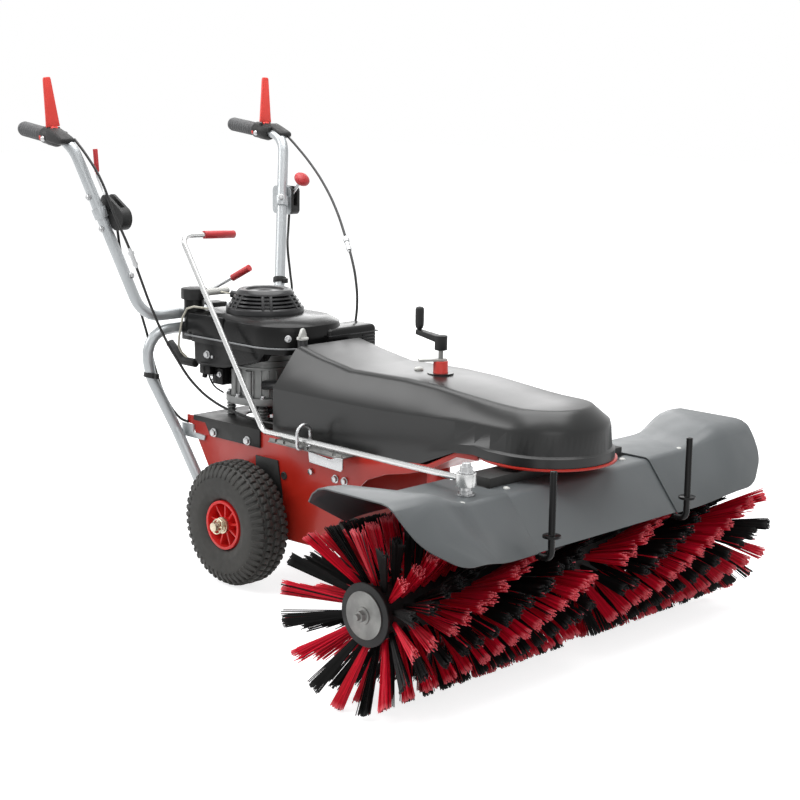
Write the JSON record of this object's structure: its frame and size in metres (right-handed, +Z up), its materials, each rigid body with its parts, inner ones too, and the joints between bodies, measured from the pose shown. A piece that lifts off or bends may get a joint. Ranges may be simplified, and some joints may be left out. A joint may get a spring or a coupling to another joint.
{
  "type": "power brush sweeper",
  "caption": "Walk-behind petrol power brush sweeper with a wide rotary brush under a swivelling grey hood, red frame, belt cover, pneumatic wheels and a tall handlebar.",
  "frame": {"origin": "on the ground, at the middle of the machine's length and width", "axes": "+Z up; -Y towards the brush, the way the machine drives; +X to the machine's left"},
  "size_m": [1.0884, 1.5157, 1.0908],
  "materials": {
    "red_paint": "gloss",
    "bright_red": "gloss",
    "black_paint": "satin",
    "dark_plastic": "satin",
    "black_plastic": "satin",
    "hood_grey": "satin",
    "zinc": "plated",
    "yellow_zinc": "plated",
    "tube_silver": "satin",
    "cast_alloy": "cast",
    "rubber_black": "matte",
    "tyre_black": "matte",
    "grip_grey": "ribbed",
    "lever_red": "satin",
    "bristle_red": "filament",
    "cable_black": "smooth",
    "cord_cream": "woven",
    "exhaust_steel": "heat_dulled"
  },
  "bodies": {
    "chassis": {"side_plates": "red_paint", "deck_plate": "red_paint", "engine_plate": "black_paint", "wheel_plates": "black_paint", "traction_axle": "cast_alloy", "belt_cover": "dark_plastic", "frame_fasteners": "zinc", "handle_stay": "tube_silver", "handle_clamp": "black_paint", "rod_guide": "zinc", "engine_block": "cast_alloy", "engine_shroud": "black_plastic", "recoil_cover": "black_plastic", "muffler": "exhaust_steel", "oil_tube": "black_plastic", "spark_lead": "cord_cream", "starter_rope": "cord_cream", "height_guide": "bright_red", "drive_belts": "rubber_black", "right_cables": "cable_black", "left_cables": "cable_black"},
    "wheel_right": {"tyre_right": "tyre_black", "rim_right": "bright_red", "half_axle_right": "yellow_zinc"},
    "wheel_left": {"tyre_left": "tyre_black", "rim_left": "bright_red", "half_axle_left": "yellow_zinc"},
    "brush_head": {"head_beam": "black_paint", "brush_gearbox": "cast_alloy", "hood_middle": "hood_grey", "hood_right": "hood_grey", "hood_left": "hood_grey", "guard_posts": "black_paint", "steering_stud": "zinc"},
    "brush": {"brush_shaft": "zinc", "brush_cores": "black_plastic", "bristles_right": "bristle_red", "bristles_left": "bristle_red"},
    "brush_drive": {"drive_shaft": "cast_alloy"},
    "crank_train": {"crankshaft": "cast_alloy"},
    "traction_input": {"traction_pulley": "cast_alloy"},
    "idler": {"idler_arm": "zinc"},
    "steering": {"steering_rod": "zinc"},
    "column": {"support_column": "zinc"},
    "crank": {"height_crank": "black_paint"},
    "crank_handle": {"crank_grip": "black_plastic"},
    "caster": {"caster_fork": "black_paint"},
    "support_roller": {"support_wheel": "rubber_black"},
    "handle": {"handlebar": "tube_silver", "grips": "grip_grey", "lever_brackets": "black_plastic", "control_boxes": "black_plastic"},
    "drive_lever": {"lever_right": "lever_red"},
    "brush_lever": {"lever_left": "lever_red"},
    "throttle": {"throttle_lever": "lever_red"},
    "shift": {"shift_lever": "lever_red"},
    "clamp": {"clamp_lever": "lever_red"},
    "fuel_lid": {"fuel_cap": "black_plastic"},
    "oil_lid": {"oil_cap": "zinc"},
    "starter": {"starter_grip": "grip_grey"}
  },
  "joints": [
    {"name": "wheel_right_spin", "type": "hinge", "parent": "chassis", "child": "wheel_right", "pos_m": [-0.172, 0.17311, 0.1375], "axis": [1, 0, 0], "continuous": true},
    {"name": "wheel_left_spin", "type": "hinge", "parent": "chassis", "child": "wheel_left", "pos_m": [0.172, 0.17311, 0.1375], "axis": [1, 0, 0], "continuous": true},
    {"name": "head_swivel", "type": "hinge", "parent": "chassis", "child": "brush_head", "pos_m": [0, -0.55489, 0.386], "axis": [0, 0, 1], "range_deg": [-12, 12]},
    {"name": "brush_spin", "type": "hinge", "parent": "brush_head", "child": "brush", "pos_m": [0, -0.55489, 0.172], "axis": [1, 0, 0], "continuous": true},
    {"name": "drive_shaft_spin", "type": "hinge", "parent": "brush_head", "child": "brush_drive", "pos_m": [0, -0.55489, 0.4], "axis": [0, 0, 1], "continuous": true},
    {"name": "crankshaft_spin", "type": "hinge", "parent": "chassis", "child": "crank_train", "pos_m": [0, 0.27311, 0.43], "axis": [0, 0, 1], "continuous": true},
    {"name": "traction_input_spin", "type": "hinge", "parent": "chassis", "child": "traction_input", "pos_m": [0, 0.13911, 0.31], "axis": [0, 0, 1], "continuous": true},
    {"name": "idler_swing", "type": "hinge", "parent": "chassis", "child": "idler", "pos_m": [0.092, -0.04689, 0.35], "axis": [0, 0, 1], "range_deg": [-5, 0]},
    {"name": "rod_yaw", "type": "hinge", "parent": "brush_head", "child": "steering", "pos_m": [-0.28, -0.59689, 0.391], "axis": [0, 0, 1], "range_deg": [-11, 11]},
    {"name": "column_slide", "type": "slide", "parent": "chassis", "child": "column", "axis": [0, 0, 1], "range_m": [-0.048, 0]},
    {"name": "height_crank_turn", "type": "hinge", "parent": "chassis", "child": "crank", "pos_m": [0, -0.26889, 0.57], "axis": [0, 0, 1], "range_deg": [0, 1440]},
    {"name": "crank_grip_spin", "type": "hinge", "parent": "crank", "child": "crank_handle", "pos_m": [0, -0.20789, 0.61], "axis": [0, 0, 1], "continuous": true},
    {"name": "caster_swivel", "type": "hinge", "parent": "column", "child": "caster", "pos_m": [0, -0.26889, 0.14], "axis": [0, 0, 1], "continuous": true},
    {"name": "support_wheel_spin", "type": "hinge", "parent": "caster", "child": "support_roller", "pos_m": [0, -0.24389, 0.06], "axis": [1, 0, 0], "continuous": true},
    {"name": "handle_tilt", "type": "hinge", "parent": "chassis", "child": "handle", "pos_m": [0, 0.45511, 0.562], "axis": [1, 0, 0], "range_deg": [-8, 10], "deforming": ["right_cables", "left_cables"]},
    {"name": "lever_right_press", "type": "hinge", "parent": "handle", "child": "drive_lever", "pos_m": [-0.31258, 0.62895, 0.97681], "axis": [-1, 0, 0], "range_deg": [0, 65], "stiffness_Nm_per_rad": 1},
    {"name": "lever_left_press", "type": "hinge", "parent": "handle", "child": "brush_lever", "pos_m": [0.31258, 0.62895, 0.97681], "axis": [-1, 0, 0], "range_deg": [0, 65], "stiffness_Nm_per_rad": 1},
    {"name": "throttle_set", "type": "hinge", "parent": "handle", "child": "throttle", "pos_m": [-0.24457, 0.49888, 0.8], "axis": [1, 0, 0], "range_deg": [-10, 30]},
    {"name": "shift_set", "type": "hinge", "parent": "handle", "child": "shift", "pos_m": [0.29857, 0.52088, 0.802], "axis": [1, 0, 0], "range_deg": [-15, 15]},
    {"name": "clamp_lever_turn", "type": "hinge", "parent": "chassis", "child": "clamp", "pos_m": [0, 0.43311, 0.5455], "axis": [0, 1, 0], "range_deg": [0, 50]},
    {"name": "fuel_cap_turn", "type": "hinge", "parent": "chassis", "child": "fuel_lid", "pos_m": [-0.086, 0.41911, 0.605], "axis": [0, 0, 1], "range_deg": [0, 90]},
    {"name": "oil_cap_turn", "type": "hinge", "parent": "chassis", "child": "oil_lid", "pos_m": [-0.07, 0.07161, 0.55], "axis": [0, 0, 1], "range_deg": [0, 90]},
    {"name": "starter_pull", "type": "slide", "parent": "chassis", "child": "starter", "axis": [0, 0.45, 0.893], "range_m": [0, 0.45], "stiffness_N_per_m": 15, "deforming": ["starter_rope"]}
  ],
  "couplings": [
    {"joint": "rod_yaw", "follows": "head_swivel", "ratio": -0.9},
    {"joint": "drive_shaft_spin", "follows": "brush_spin", "ratio": 2.8},
    {"joint": "height_crank_turn", "follows": "column_slide", "rad_per_m": -523.6},
    {"joint": "lever_left_press", "follows": "idler_swing", "ratio": -13}
  ]
}
